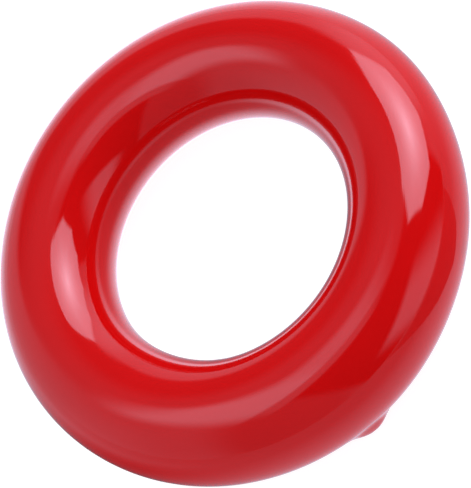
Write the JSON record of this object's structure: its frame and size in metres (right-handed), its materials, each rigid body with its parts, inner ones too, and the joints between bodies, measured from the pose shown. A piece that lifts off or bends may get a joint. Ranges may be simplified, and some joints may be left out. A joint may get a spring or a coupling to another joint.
{
  "type": "weighted exercise ring",
  "caption": "Round hand exercise and warm-up ring: a heavy cast iron ring inside a thick, glossy dipped vinyl skin, with the dip's nub on its lower flank.",
  "frame": {"origin": "under the middle of the hole, on the surface the ring lies on", "axes": "+Z along the ring's axis, up through the hole; the nub is about 46 degrees from +X towards -Y"},
  "size_m": [0.0616, 0.0617, 0.0145],
  "materials": {
    "cast_iron": "rough, as cast",
    "dipped_vinyl": "mirror gloss, self-levelled"
  },
  "bodies": {
    "root": {"iron_core": "cast_iron", "vinyl_skin": "dipped_vinyl"}
  },
  "joints": []
}
